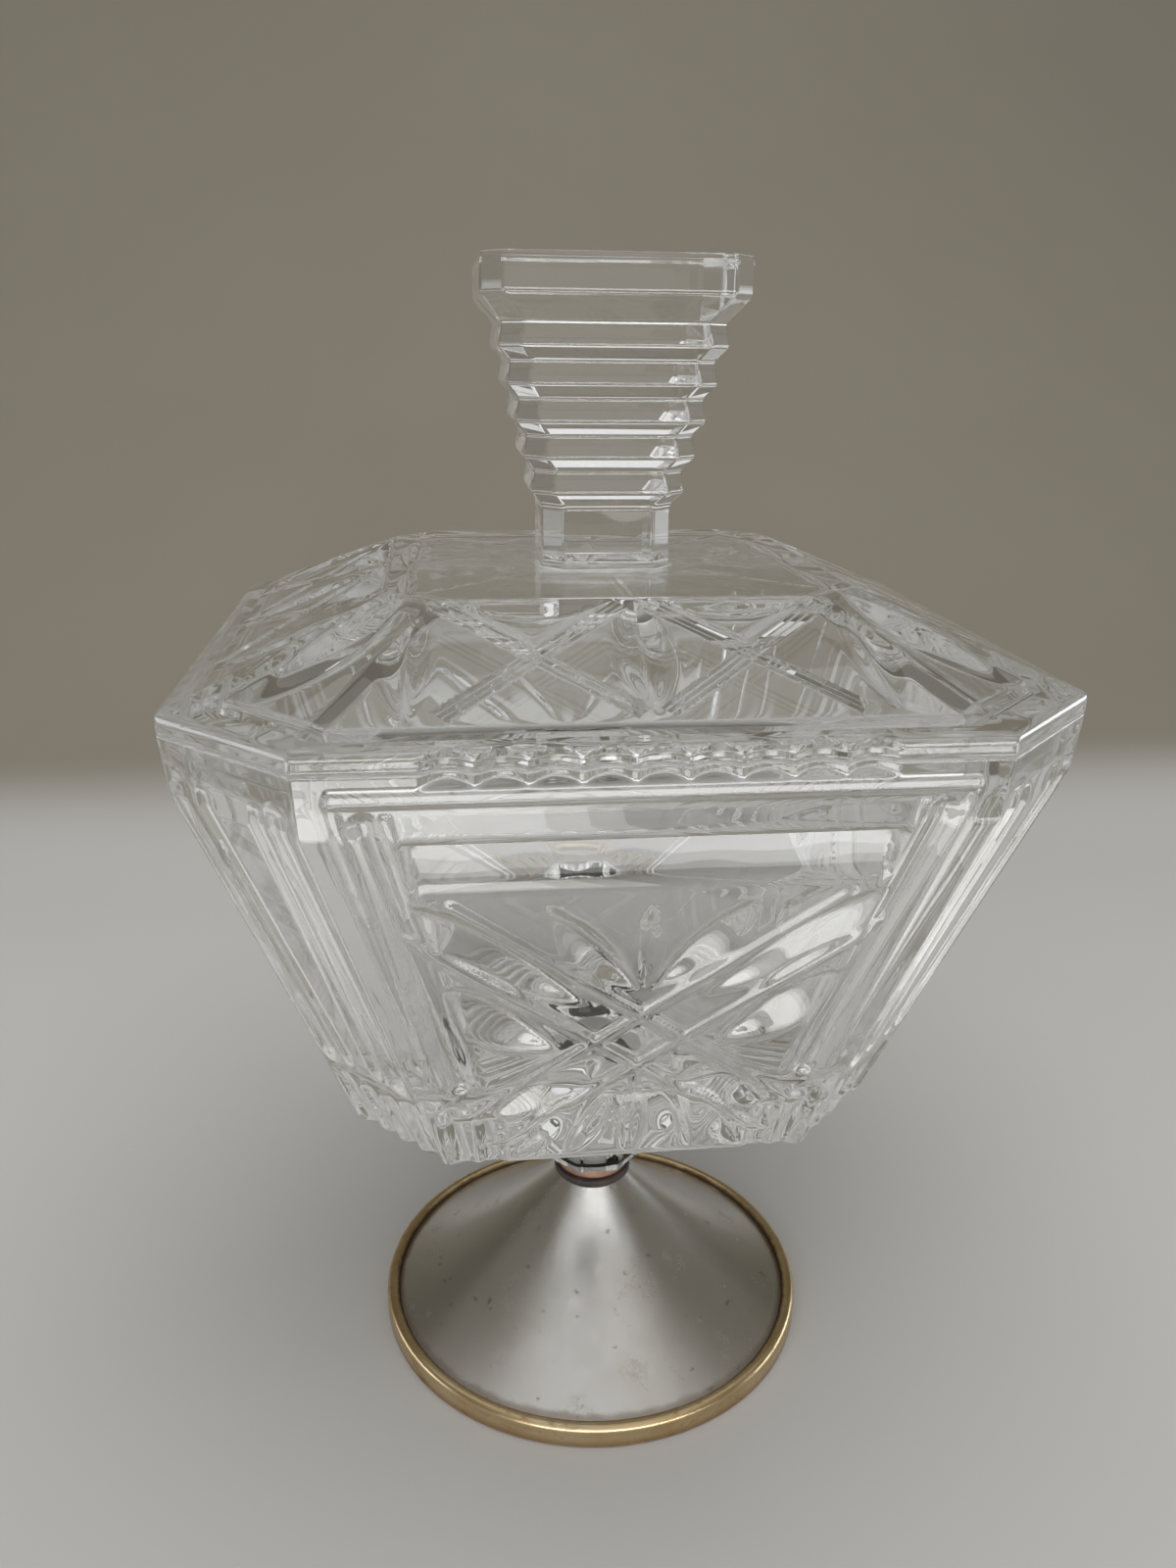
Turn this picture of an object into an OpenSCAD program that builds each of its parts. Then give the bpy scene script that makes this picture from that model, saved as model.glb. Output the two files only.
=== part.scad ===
// Lidded candy dish: a square pressed-glass bowl and lid with canted corners, on a spun metal foot.
// Millimetres. Z is up, the foot stands on Z = 0 at the origin, and one cut face looks along -Y.

/* [Foot] */
// Outer diameter of the foot at its bead
foot_d = 80; // [60:1:110]
// Radial width of the bead beside the cone's edge
bead_w = 2.4; // [1.5:0.1:4]
// Height of the bead
bead_h = 4.4; // [3:0.1:7]
// Width of the bead's inner lip, which carries the cone's edge
lip_w = 1.2; // [0.8:0.1:2]
// Height of the bead's inner lip
lip_h = 1.2; // [0.8:0.1:2]
// Thickness of the cone's spun sheet
sheet_t = 0.8; // [0.5:0.1:1.2]
// Height of the cone's upright edge above the lip
cone_edge_h = 2.4; // [1.5:0.1:4]
// Height of the neck's top above the ground
neck_z = 28; // [20:1:45]
// Diameter of the neck
neck_d = 13; // [12:0.5:18]
// Thickness of the neck's top plate
neck_t = 1.6; // [1:0.1:2.5]
// How far the cone's side dips below a straight line
cone_dip = 1.4; // [0:0.1:3]

/* [Collar] */
// Diameter of the gasket on the neck
neck_gasket_d = 14.4; // [13:0.1:18]
// Thickness of the gasket on the neck
neck_gasket_t = 1.6; // [0.8:0.1:3]
// Diameter of the copper collar
collar_d = 13.2; // [12:0.1:18]
// Height of the copper collar
collar_h = 2.4; // [1.5:0.1:5]
// Diameter of the gasket under the glass
top_gasket_d = 12.4; // [11:0.1:16]
// Thickness of the gasket under the glass
top_gasket_t = 0.8; // [0.5:0.1:2]

/* [Clamp] */
// Diameter of the clamp stud
stud_d = 5; // [4:0.5:6]
// Length of stud below the nut
stud_tail = 2; // [1:0.5:4]
// Radial gap between the stud and each ring on it
stud_gap = 0.1; // [0.05:0.05:0.3]
// Depth of the socket in the glass boss
socket_depth = 10; // [6:0.5:14]
// Thickness of cement round the stud
cement_t = 1.2; // [0.8:0.1:2]
// Radial gap at the cement's faces
cement_gap = 0.05; // [0.02:0.01:0.1]
// Diameter of the clamp washer
washer_d = 11; // [10:0.5:12]
// Thickness of the clamp washer
washer_t = 1; // [0.6:0.1:1.6]
// Width of the hex nut across its flats
nut_w = 8; // [7:0.5:10]
// Height of the hex nut
nut_h = 4; // [3:0.5:5]

/* [Bowl] */
// Width of the rim across its flats
rim_w = 125; // [110:1:140]
// Length of one flat side of the rim
rim_side = 88; // [76:1:98]
// Width of the base edge across its flats
base_w = 82; // [70:1:92]
// Length of one flat side of the base edge
base_side = 55; // [48:1:62]
// Width of the boss where it meets the gasket
boss_w = 17; // [15:0.5:22]
// Height of the boss below the tapered underside
boss_h = 11; // [10:0.5:18]
// Spread of the boss from its foot to its top, on each side
boss_spread = 1.5; // [0:0.25:4]
// Rise of the tapered underside
underside_h = 16; // [10:0.5:24]
// Height from the base edge to the rim
bowl_h = 70; // [60:1:85]
// Height of the shoulder under the rim
shoulder_h = 8.5; // [6:0.5:16]
// How far the shoulder draws in on each side
shoulder_in = 1; // [0.5:0.25:3]
// Thickness of the bowl's wall
wall_t = 5.5; // [4.5:0.25:7]
// Thickness of glass between the base edge and the inner floor
floor_t = 12; // [8:0.5:18]
// Depth of the upright mouth that takes the lid's lip
mouth_h = 6; // [5:0.25:10]

/* [Wall cuts] */
// Gap between the shoulder and the long bar
bar_drop = 1.2; // [0.5:0.1:4]
// Length of the long bar at its top
bar_len = 64; // [50:1:70]
// Height of the long bar
bar_h = 7.5; // [5:0.5:10]
// How much shorter each end of the bar is at its foot
bar_slant = 1.6; // [0:0.2:4]
// Depth of the long bar
bar_depth = 2.6; // [1:0.1:3]
// Distance of the bar's deepest line below its top
bar_crease = 1; // [0.6:0.1:3]
// Height of the cross's middle above the base edge, along the wall
cross_rise = 28.2; // [24:0.2:32]
// Gap between the bar and the upper tips of the cross
arm_gap = 2.7; // [1.5:0.1:5]
// Gap between the base edge and the lower tips of the cross
cross_gap = 10.6; // [7:0.2:14]
// Width of an arm's hollow
arm_w = 5.9; // [4:0.1:7]
// Width of the rib beside each arm
rib_w = 2.1; // [1.5:0.1:3]
// Depth of arms and leaves for each unit of their half-width
leaf_slope = 0.7; // [0.4:0.05:0.8]
// Share of an arm's or a leaf's width that lies above its deepest line
leaf_upper = 0.3; // [0.2:0.05:0.5]
// Distance of the upper leaf from the cross's middle
up_leaf_near = 9.4; // [8:0.2:12]
// Distance of the upper leaf's tip from the cross's middle
up_leaf_far = 23.4; // [18:0.2:26]
// Width of the upper leaf
up_leaf_w = 3.4; // [2:0.1:5]
// Direction of the upper side leaves, from level
up_side_turn = 66; // [60:1:75]
// Distance of the upper side leaves from the cross's middle
up_side_near = 11; // [9:0.2:14]
// Distance of the upper side leaves' tips from the cross's middle
up_side_far = 27.5; // [20:0.5:29]
// Width of the upper side leaves
up_side_w = 4.8; // [3:0.1:6]
// Distance of the side leaves from the middle line of the arm above them
side_leaf_off = 9.4; // [8:0.1:11]
// Distance of the side leaves' inner tips from the cross's middle, along the arm
side_leaf_near = 7.3; // [5:0.1:10]
// Distance of the side leaves' outer tips from the cross's middle, along the arm
side_leaf_far = 28; // [22:0.5:30]
// Width of the side leaves
side_leaf_w = 7.2; // [4:0.1:8]
// Distance of the lower leaf from the cross's middle
low_leaf_near = 9.6; // [8:0.2:12]
// Distance of the lower leaf's tip from the cross's middle
low_leaf_far = 27.2; // [20:0.2:28]
// Width of the lower leaf
low_leaf_w = 3.8; // [2:0.1:5]
// Direction of the lower side leaves, from level
low_side_turn = 71; // [68:1:76]
// Distance of the lower side leaves from the cross's middle
low_side_near = 11.6; // [10:0.2:14]
// Distance of the lower side leaves' tips from the cross's middle
low_side_far = 28; // [22:0.5:29]
// Width of the lower side leaves
low_side_w = 4; // [2:0.1:5]
// Direction of the lower outer leaves, from level
low_outer_turn = 57; // [53:1:60]
// Distance of the lower outer leaves from the cross's middle
low_outer_near = 17.6; // [15:0.2:20]
// Distance of the lower outer leaves' tips from the cross's middle
low_outer_far = 30.5; // [24:0.5:32]
// Width of the lower outer leaves
low_outer_w = 3.8; // [2:0.1:5]

/* [Flutes] */
// Height of the flutes' foot above the base edge, along the wall
flute_foot = 18.5; // [14:0.5:24]
// Length of the flutes
flute_len = 48; // [36:1:50]
// Distance of a wall's outer flutes from its upright edges
wall_flute_inset = 6.45; // [4:0.05:8]
// Width of a wall's outer flutes
wall_flute_w = 2.8; // [1.6:0.1:4]
// Depth of a wall's outer flutes
wall_flute_depth = 0.8; // [0.4:0.1:1.2]
// Distance of a corner's wide flutes from its upright edges
corner_flute_inset = 3.1; // [2.6:0.1:4]
// Width of a corner's wide flutes
corner_flute_w = 5.2; // [3:0.1:5.2]
// Depth of a corner's wide flutes
corner_flute_depth = 1.2; // [0.4:0.1:2]
// Distance from a wide flute to the narrow flute beside it
flute_step = 4.3; // [4:0.1:5]
// Width of a corner's narrow flutes
narrow_flute_w = 2.8; // [1.6:0.1:3]
// Depth of a corner's narrow flutes
narrow_flute_depth = 0.8; // [0.4:0.1:1.2]

/* [Rim cuts] */
// Number of arches along each side of the rim
arches = 9; // [3:2:11]
// Distance from one arch to the next
arch_pitch = 6.45; // [5:0.05:8]
// Gap between two arches
arch_gap = 0.3; // [0.2:0.1:2]
// Depth of the arches
arch_depth = 1.2; // [0.4:0.1:2]
// How far the arches reach down on the bowl
arch_drop = 2.6; // [1:0.1:5]

/* [Roof cuts] */
// Width of each roof bay, which holds one cross and one dish
bay_w = 28; // [22:1:32]
// Gap between a roof cross and the edges of its bay
bay_gap = 1.5; // [1:0.25:4]
// Width of each groove of the roof crosses
groove_w = 1.2; // [0.8:0.1:2.4]
// Depth of the grooves
groove_depth = 0.5; // [0.3:0.1:1.2]
// Width of the round dish at the top of each bay
dish_w = 16.4; // [10:0.2:20]
// Depth of the round dish
dish_depth = 2.2; // [0.8:0.1:2.6]
// Gap between the flat top and the dishes and leaves
crown_gap = 0.5; // [0.3:0.1:3]
// Gap between the plain margin and the roof's leaves
margin_gap = 2.2; // [1:0.1:5]
// Width of the leaf in the middle of each slope
mid_leaf_w = 6.8; // [3:0.1:8]
// Width of the leaves at the ends of each slope
end_leaf_w = 5.4; // [3:0.1:7]
// Width of the leaf on each corner of the roof
corner_leaf_w = 9.2; // [4:0.1:10]
// Depth of the roof's leaves for each unit of their half-width
roof_leaf_slope = 0.5; // [0.2:0.05:0.6]

/* [Lid] */
// Height of the lid's upright rim
lid_rim_h = 2.8; // [2:0.1:5]
// Width of the plain margin inside the rim
margin_w = 4.5; // [3:0.25:7]
// Rise of the plain margin
margin_h = 1.7; // [0.8:0.1:3]
// Rise of the lid's sloping roof
roof_h = 10.3; // [7:0.1:16]
// Width of the flat top across its flats
crown_w = 67; // [56:1:76]
// Length of one flat side of the flat top
crown_side = 54; // [44:1:60]
// Thickness of glass under the flat top
crown_t = 5; // [4:0.25:6]
// Depth of the locating lip
lid_lip_h = 4; // [3:0.25:4.5]
// Thickness of the locating lip
lid_lip_t = 2.8; // [2:0.1:4]
// Gap between the lip and the mouth
lid_gap = 0.8; // [0.5:0.1:1.5]

/* [Finial] */
// Width of the finial's neck
finial_neck_w = 20; // [16:0.5:22]
// Height of the finial's neck
finial_neck_h = 9.5; // [6:0.5:14]
// Width of the lowest tier
first_tier_w = 23.6; // [22:0.2:26]
// Growth in width from one tier to the next
tier_grow = 2.5; // [1.6:0.1:3]
// Number of tiers
tiers = 5; // [3:1:6]
// Height of one tier
tier_h = 5.25; // [4:0.25:7]
// Height of each tier's sloping underside
tier_slope_h = 1.95; // [1.4:0.05:2.6]
// How far each tier draws in at its top, on each side
tier_draw = 0.5; // [0:0.1:1]
// Width of the top slab
slab_w = 38.6; // [36:0.2:44]
// Height of the top slab's side
slab_h = 5.6; // [4:0.2:8]
// Height of the slope under the top slab
slab_slope_h = 3.4; // [2:0.2:5]
// Amount cut off each upright corner of the finial
finial_cant = 2.2; // [1:0.1:3]

/* [Hidden] */
$fn = 96;
cone_steps = 18;
overcut = 1;
glass = [0.86, 0.90, 0.93, 0.55];
silver = [0.78, 0.76, 0.72];
brass = [0.72, 0.55, 0.28];
copper = [0.72, 0.48, 0.38];
dark_rubber = [0.12, 0.10, 0.10];

// Levels of the stack, from the ground up
edge_z = lip_h + cone_edge_h;
collar_z = neck_z + neck_gasket_t;
top_gasket_z = collar_z + collar_h;
boss_z = top_gasket_z + top_gasket_t;
taper_z = boss_z + boss_h;
base_z = taper_z + underside_h;
floor_z = base_z + floor_t;
rim_z = base_z + bowl_h;
shoulder_z = rim_z - shoulder_h;
mouth_z = rim_z - mouth_h;
lip_z = rim_z - lid_lip_h;
margin_z = rim_z + lid_rim_h;
roof_z = margin_z + margin_h;
crown_z = roof_z + roof_h;
tier_z = crown_z + finial_neck_h;
slab_z = tier_z + tiers * tier_h;
finial_top_z = slab_z + slab_slope_h + slab_h;
washer_z = neck_z - neck_t - washer_t;
nut_z = washer_z - nut_h;

// Radii on the foot and the stud
foot_r = foot_d / 2;
cone_r = foot_r - bead_w;
neck_r = neck_d / 2;
stud_r = stud_d / 2;
ring_r = stud_r + stud_gap;
socket_r = stud_r + cement_t;

// Run of the cone's side for each unit of its rise, and the place of the sheet's inner face
cone_run = (cone_r - neck_r) / (neck_z - edge_z);
inner_edge = [cone_r - sheet_t, edge_z + sheet_t / cone_run - sheet_t * sqrt(1 + 1 / pow(cone_run, 2))];
inner_neck = [neck_r + neck_t * cone_run - sheet_t * sqrt(1 + pow(cone_run, 2)), neck_z - neck_t];

// Half-widths of the glass across its flats and across its corners, at each level
function corner_half(width, side) = (width + side) / 2 / sqrt(2);
rim_half = rim_w / 2;
rim_corner = corner_half(rim_w, rim_side);
base_half = base_w / 2;
base_corner = corner_half(base_w, base_side);
boss_half = boss_w / 2;
flat_wall = [[base_z, base_half], [shoulder_z, rim_half - shoulder_in], [rim_z, rim_half]];
corner_wall = [[base_z, base_corner], [shoulder_z, rim_corner - shoulder_in], [rim_z, rim_corner]];
wall_lean = atan((rim_half - shoulder_in - base_half) / (shoulder_z - base_z));
wall_level_t = wall_t / cos(wall_lean);
wall_len = (shoulder_z - base_z) / cos(wall_lean);
corner_lean = atan((rim_corner - shoulder_in - base_corner) / (shoulder_z - base_z));
bar_top = wall_len - bar_drop;
bar_foot = bar_top - bar_h;
mouth_half = rim_half - wall_t;
mouth_corner = rim_corner - wall_t;

// Half-widths of the lid
lip_half = mouth_half - lid_gap;
lip_corner = mouth_corner - lid_gap;
roof_run = (rim_half - margin_w - crown_w / 2) / roof_h;
crown_corner = corner_half(crown_w, crown_side);
hollow_draw = crown_t * roof_run / 4;
roof_len = roof_h * sqrt(1 + pow(roof_run, 2));
corner_roof_run = (rim_corner - margin_w - crown_corner) / roof_h;
corner_roof_len = roof_h * sqrt(1 + pow(corner_roof_run, 2));

// Direction and lengths of the wall cross's arms, from its middle
arm_turn = atan2(bar_foot - arm_gap - cross_rise, bar_len / 2 - bar_slant);
arm_near = (arm_w / 2 + rib_w) / sin(2 * arm_turn);
arm_far = (bar_foot - arm_gap - cross_rise) / sin(arm_turn);
arm_low = (cross_rise - cross_gap) / sin(arm_turn);
function from_cross(side, turn, along, off = 0) =
    [side * (along * cos(turn) - off * sin(turn)), cross_rise + along * sin(turn) + off * cos(turn)];

// Radius of a round cut from its width and depth
function cut_r(width, depth) = (pow(width / 2, 2) + pow(depth, 2)) / 2 / depth;

// Half-width of a leaning wall at a height along it, from its half-widths at the base edge and the rim
function wall_half(low, high, along) = low + (high - low) * along * cos(wall_lean) / bowl_h;

// A point of a side that dips below the straight line between two points
function dipped(from, to, share) =
    let (across = [to[1] - from[1], from[0] - to[0]])
    from + (to - from) * share - across / norm(across) * 4 * cone_dip * share * (1 - share);

// A prism that runs along Y, whose half-widths at its levels are the pairs of an outline
module two_sided(outline, reach) {
    left = [for (i = [len(outline) - 1 : -1 : 0]) [-outline[i][0], outline[i][1]]];
    rotate([90, 0, 0])
        linear_extrude(height = 2 * reach, center = true)
            polygon(concat(outline, left));
}

// A solid with four flats and four corners, each following its own outline
module eight_sided(flats, corners) {
    reach = 2 * max([for (pair = concat(flats, corners)) pair[0]]);
    intersection() {
        two_sided(flats, reach);
        rotate([0, 0, 90]) two_sided(flats, reach);
        rotate([0, 0, 45]) two_sided(corners, reach);
        rotate([0, 0, 135]) two_sided(corners, reach);
    }
}

// A flat ring on the stud's axis
module stud_ring(diameter, bore_r, height) {
    difference() {
        cylinder(d = diameter, h = height);
        translate([0, 0, -overcut]) cylinder(r = bore_r, h = height + 2 * overcut);
    }
}

// Places its children on a wall of the bowl: X along the base edge, Y up the wall, Z outwards
module on_wall(turn) {
    rotate([0, 0, turn])
        translate([0, -base_half, base_z])
            rotate([90 + wall_lean, 0, 0])
                children();
}

// Places its children on a slope of the lid's roof: X along its foot, Y up the slope, Z outwards
module on_roof(turn) {
    rotate([0, 0, turn])
        translate([0, margin_w - rim_half, roof_z])
            rotate([atan(1 / roof_run), 0, 0])
                children();
}

// Places its children on a corner wall of the bowl
module on_corner_wall(turn) {
    rotate([0, 0, turn + 45])
        translate([0, -base_corner, base_z])
            rotate([90 + corner_lean, 0, 0])
                children();
}

// Places its children on a corner of the lid's roof
module on_corner_roof(turn) {
    rotate([0, 0, turn + 45])
        translate([0, margin_w - rim_corner, roof_z])
            rotate([atan(1 / corner_roof_run), 0, 0])
                children();
}

// Places its children at a point of a wall, with X towards a second point
module along(from, to) {
    run = to - from;
    translate([from[0], from[1], 0])
        rotate([0, 0, atan2(run[1], run[0])])
            children();
}

// A groove with a sharp bottom between two points
module sharp_groove(from, to) {
    top = groove_w / 2 * (groove_depth + overcut) / groove_depth;
    along(from, to)
        rotate([90, 0, 90])
            linear_extrude(height = norm(to - from))
                polygon([[-top, overcut], [0, -groove_depth], [top, overcut]]);
}

// What a sharp-edged wheel leaves along X, deepest at X = 0 and out of the glass at its reach
module wheel_cut(reach, width, depth, upper, start) {
    wheel_r = cut_r(2 * reach, depth);
    rise = depth + overcut;
    spread = width * rise / depth;
    intersection() {
        translate([0, 0, wheel_r - depth])
            rotate([90, 0, 0])
                rotate_extrude()
                    polygon([[wheel_r - rise, -spread * upper], [wheel_r, 0],
                             [wheel_r - rise, spread * (1 - upper)]]);
        translate([start, -2 * spread, -rise])
            cube([reach + overcut - start, 4 * spread, rise + overcut / 2]);
    }
}

// A leaf between two points
module leaf(from, to, width, slope, upper = 0.5) {
    half = norm(to - from) / 2;
    along((from + to) / 2, to) wheel_cut(half, width, width / 2 * slope, upper, -half - overcut);
}

// A leaf of the wall cross on one side, in a direction from the cross's middle or beside it
module cross_leaf(side, turn, near, far, width, off = 0) {
    upper = side > 0 ? leaf_upper : 1 - leaf_upper;
    leaf(from_cross(side, turn, near, off), from_cross(side, turn, far, off), width, leaf_slope, upper);
}

// An arm of the wall cross on one side, blunt at its start and pointed at its end
module cross_arm(side, turn, near, far) {
    upper = side > 0 ? leaf_upper : 1 - leaf_upper;
    along(from_cross(side, turn, near), from_cross(side, turn, far))
        wheel_cut(far - near, arm_w, arm_w / 2 * leaf_slope, upper, 0);
}

// A round-bottomed flute between two points
module flute(from, to, width, depth) {
    radius = cut_r(width, depth);
    along(from, to)
        translate([0, 0, radius - depth])
            rotate([0, 90, 0])
                cylinder(r = radius, h = norm(to - from));
}

// The long bar under a wall's shoulder
module wall_bar() {
    half = bar_len / 2;
    foot = half - bar_slant;
    upper = overcut * bar_crease / bar_depth;
    lower = overcut * (bar_h - bar_crease) / bar_depth;
    intersection() {
        translate([0, bar_top, -bar_depth - overcut])
            linear_extrude(height = bar_depth + 2 * overcut)
                polygon([[-half, 0], [half, 0], [foot, -bar_h], [-foot, -bar_h]]);
        translate([-bar_len, 0, 0])
            rotate([90, 0, 90])
                linear_extrude(height = 2 * bar_len)
                    polygon([[bar_top + upper, overcut], [bar_top - bar_crease, -bar_depth],
                             [bar_foot - lower, overcut]]);
    }
}

// The cross's four arms and the leaves between them
module wall_cross() {
    for (side = [-1, 1]) {
        cross_arm(side, arm_turn, arm_near, arm_far);
        cross_arm(side, -arm_turn, arm_near, arm_low);
        cross_leaf(side, arm_turn, side_leaf_near, side_leaf_far, side_leaf_w, -side_leaf_off);
        cross_leaf(side, up_side_turn, up_side_near, up_side_far, up_side_w);
        cross_leaf(side, -low_side_turn, low_side_near, low_side_far, low_side_w);
        cross_leaf(side, -low_outer_turn, low_outer_near, low_outer_far, low_outer_w);
    }
    leaf(from_cross(1, 90, up_leaf_near), from_cross(1, 90, up_leaf_far), up_leaf_w, leaf_slope);
    leaf(from_cross(1, -90, low_leaf_near), from_cross(1, -90, low_leaf_far), low_leaf_w, leaf_slope);
}

// The flutes beside a wall's upright edges
module wall_flutes() {
    top = flute_foot + flute_len;
    low_x = wall_half(base_side / 2, rim_side / 2, flute_foot) - wall_flute_inset;
    high_x = wall_half(base_side / 2, rim_side / 2, top) - wall_flute_inset;
    for (side = [-1, 1])
        flute([side * low_x, flute_foot], [side * high_x, top], wall_flute_w, wall_flute_depth);
}

// The wide and the narrow flutes on a corner wall
module corner_flutes() {
    top = flute_foot + flute_len;
    base_edge = (base_w - base_side) / sqrt(8);
    rim_edge = (rim_w - rim_side) / sqrt(8);
    low_x = wall_half(base_edge, rim_edge, flute_foot) - corner_flute_inset;
    high_x = wall_half(base_edge, rim_edge, top) - corner_flute_inset;
    for (side = [-1, 1]) {
        flute([side * low_x, flute_foot], [side * high_x, top], corner_flute_w, corner_flute_depth);
        flute([side * (low_x - flute_step), flute_foot], [side * (high_x - flute_step), top],
              narrow_flute_w, narrow_flute_depth);
    }
}

// The row of arches along one side of the rim, between two levels
module rim_arches(low_z, high_z) {
    radius = cut_r(arch_pitch - arch_gap, arch_depth);
    first = -(arches - 1) / 2 * arch_pitch;
    for (i = [0 : arches - 1])
        translate([first + i * arch_pitch, arch_depth - rim_half - radius, low_z])
            cylinder(r = radius, h = high_z - low_z);
}

// The two crosses of single grooves, the two dishes and the leaves on one slope of the roof
module roof_cuts() {
    low = bay_gap;
    high = roof_len - bay_gap;
    near = bay_gap;
    far = bay_w - bay_gap;
    dish_r = cut_r(dish_w, dish_depth);
    leaf_top = roof_len - crown_gap;
    end_x = bay_w + end_leaf_w / 2;
    for (side = [-1, 1]) {
        sharp_groove([side * near, low], [side * far, high]);
        sharp_groove([side * far, low], [side * near, high]);
        translate([side * bay_w / 2, leaf_top - dish_w / 2, dish_r - dish_depth]) sphere(r = dish_r);
        leaf([side * end_x, margin_gap], [side * end_x, leaf_top], end_leaf_w, roof_leaf_slope);
    }
    leaf([0, margin_gap], [0, leaf_top], mid_leaf_w, roof_leaf_slope);
}

// Brass bead that the cone's edge sits in
module foot_rim() {
    crown_r = bead_w / 2;
    color(brass)
        rotate_extrude() {
            translate([cone_r - lip_w, 0]) square([lip_w + bead_w, lip_h]);
            translate([cone_r, 0]) square([bead_w, bead_h - crown_r]);
            translate([cone_r + crown_r, bead_h - crown_r]) circle(r = crown_r);
        }
}

// Silver-plated spun cone with its neck plate
module foot_cone() {
    outer_edge = [cone_r, edge_z];
    outer_neck = [neck_r, neck_z];
    outside = [for (i = [0 : cone_steps]) dipped(outer_edge, outer_neck, i / cone_steps)];
    inside = [for (i = [cone_steps : -1 : 0]) dipped(inner_edge, inner_neck, i / cone_steps)];
    color(silver)
        rotate_extrude()
            polygon(concat([[cone_r - sheet_t, lip_h], [cone_r, lip_h]], outside,
                           [[ring_r, neck_z], [ring_r, neck_z - neck_t]], inside));
}

// Dark gasket on the foot's neck
module neck_gasket() {
    color(dark_rubber)
        translate([0, 0, neck_z]) stud_ring(neck_gasket_d, ring_r, neck_gasket_t);
}

// Copper-toned collar ring
module collar() {
    color(copper)
        translate([0, 0, collar_z]) stud_ring(collar_d, ring_r, collar_h);
}

// Thin dark gasket under the glass
module top_gasket() {
    color(dark_rubber)
        translate([0, 0, top_gasket_z]) stud_ring(top_gasket_d, ring_r, top_gasket_t);
}

// Stud that ties the glass to the foot
module clamp_stud() {
    foot_end = nut_z - stud_tail;
    color(silver)
        translate([0, 0, foot_end]) cylinder(r = stud_r, h = boss_z + socket_depth - cement_t - foot_end);
}

// Cement that fills the socket round the stud
module socket_cement() {
    depth = socket_depth - cement_gap;
    color("gainsboro")
        translate([0, 0, boss_z])
            difference() {
                cylinder(r = socket_r - cement_gap, h = depth);
                translate([0, 0, -overcut])
                    cylinder(r = stud_r + cement_gap, h = socket_depth - cement_t + cement_gap + overcut);
            }
}

// Washer under the neck's plate
module clamp_washer() {
    color(silver)
        translate([0, 0, washer_z]) stud_ring(washer_d, ring_r, washer_t);
}

// Hex nut under the washer
module clamp_nut() {
    color(silver)
        translate([0, 0, nut_z])
            difference() {
                cylinder(d = nut_w / cos(30), h = nut_h, $fn = 6);
                translate([0, 0, -overcut]) cylinder(r = ring_r, h = nut_h + 2 * overcut);
            }
}

// Glass bowl with its boss, tapered underside and cut walls
module bowl() {
    boss_outline = [[boss_half, boss_z], [boss_half + boss_spread, taper_z]];
    flats = concat(boss_outline, [for (level = flat_wall) [level[1], level[0]]]);
    corners = concat(boss_outline, [for (level = corner_wall) [level[1], level[0]]]);
    inner_flats = [[lookup(floor_z, flat_wall) - wall_level_t, floor_z], [mouth_half, mouth_z],
                   [mouth_half, rim_z + overcut]];
    inner_corners = [[lookup(floor_z, corner_wall) - wall_level_t, floor_z], [mouth_corner, mouth_z],
                     [mouth_corner, rim_z + overcut]];
    color(glass)
        difference() {
            eight_sided(flats, corners);
            eight_sided(inner_flats, inner_corners);
            translate([0, 0, boss_z - overcut]) cylinder(r = socket_r, h = socket_depth + overcut);
            for (turn = [0 : 90 : 270]) {
                on_wall(turn) {
                    wall_bar();
                    wall_cross();
                    wall_flutes();
                }
                on_corner_wall(turn) corner_flutes();
                rotate([0, 0, turn]) rim_arches(rim_z - arch_drop, rim_z + overcut);
            }
        }
}

// Half-widths and levels of one tier of the finial: the top of its slope, then its own top
function tier_outline(i) =
    let (half = (first_tier_w + i * tier_grow) / 2, foot_z = tier_z + i * tier_h)
    [[half, foot_z + tier_slope_h], [half - tier_draw, foot_z + tier_h]];

// Half-widths and levels of the stepped finial, from the flat top up
function finial_outline() =
    concat([[finial_neck_w / 2, crown_z - overcut], [finial_neck_w / 2, tier_z]],
           [for (i = [0 : tiers - 1], point = tier_outline(i)) point],
           [[slab_w / 2, slab_z + slab_slope_h], [slab_w / 2, finial_top_z]]);

// Stepped square finial with canted corners
module finial() {
    flats = finial_outline();
    corners = [for (pair = flats) [pair[0] * sqrt(2) - finial_cant, pair[1]]];
    eight_sided(flats, corners);
}

// Outside of the lid's roof, from its upright rim to its flat top
module lid_roof() {
    foot_half = rim_half - margin_w;
    foot_corner = rim_corner - margin_w;
    flats = [[rim_half, rim_z], [rim_half, margin_z], [foot_half, roof_z], [crown_w / 2, crown_z]];
    corners = [[rim_corner, rim_z], [rim_corner, margin_z], [foot_corner, roof_z], [crown_corner, crown_z]];
    eight_sided(flats, corners);
}

// Outside of the locating lip, run up into the roof
module lid_lip() {
    eight_sided([[lip_half, lip_z], [lip_half, margin_z]],
                [[lip_corner, lip_z], [lip_corner, margin_z]]);
}

// Hollow inside the lip and under the roof
module lid_hollow() {
    half = lip_half - lid_lip_t;
    corner = lip_corner - lid_lip_t;
    foot_z = lip_z - overcut;
    top_z = crown_z - crown_t;
    eight_sided([[half, foot_z], [half, rim_z], [crown_w / 2 - hollow_draw, top_z]],
                [[corner, foot_z], [corner, rim_z], [crown_corner - hollow_draw, top_z]]);
}

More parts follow.
